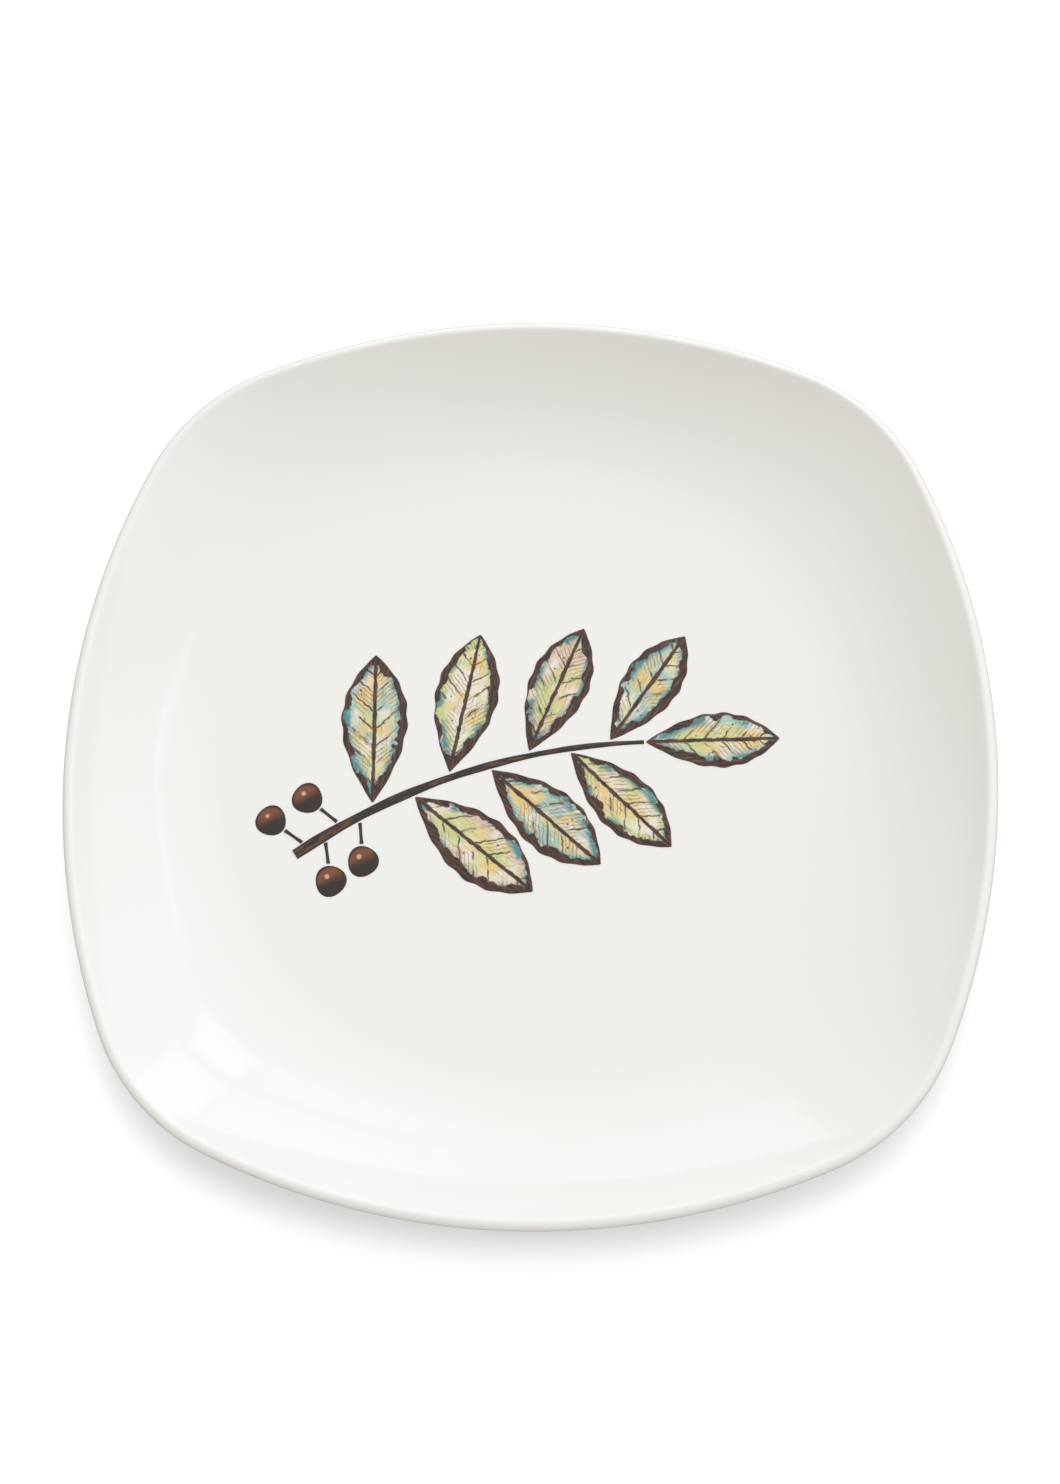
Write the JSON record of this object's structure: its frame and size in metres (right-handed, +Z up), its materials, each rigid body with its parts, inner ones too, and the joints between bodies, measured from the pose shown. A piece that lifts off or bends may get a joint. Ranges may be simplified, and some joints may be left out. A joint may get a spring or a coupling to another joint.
{
  "type": "serving bowl",
  "caption": "Wide shallow soft-square serving bowl in white glazed porcelain with a round flat-floored well, a full-round lip, a foot ring and a painted leaf sprig.",
  "frame": {"origin": "on the table under the middle of the foot ring", "axes": "+Z up out of the well, +Y away from the viewer, +X to the viewer's right; the four bowed sides face +X, -X, +Y and -Y"},
  "size_m": [0.2898, 0.2898, 0.037],
  "materials": {
    "bisque": "matte",
    "white_glaze": "polished",
    "umber_enamel": "gloss",
    "berry_enamel": "gloss",
    "teal_enamel": "gloss",
    "cream_enamel": "gloss",
    "green_enamel": "gloss"
  },
  "bodies": {
    "root": {"porcelain_body": "bisque", "glaze_coat": "white_glaze", "base_glaze": "white_glaze", "enamel_stem": "umber_enamel", "enamel_leaf_1": "teal_enamel", "enamel_leaf_2": "cream_enamel", "enamel_leaf_3": "green_enamel", "enamel_leaf_4": "teal_enamel", "enamel_leaf_5": "cream_enamel", "enamel_leaf_6": "green_enamel", "enamel_leaf_7": "teal_enamel", "enamel_end_leaf": "teal_enamel", "enamel_stalk_1": "umber_enamel", "enamel_stalk_2": "umber_enamel", "enamel_stalk_3": "umber_enamel", "enamel_stalk_4": "umber_enamel", "enamel_berry_1": "berry_enamel", "enamel_berry_2": "berry_enamel", "enamel_berry_3": "berry_enamel", "enamel_berry_4": "berry_enamel"}
  },
  "joints": []
}
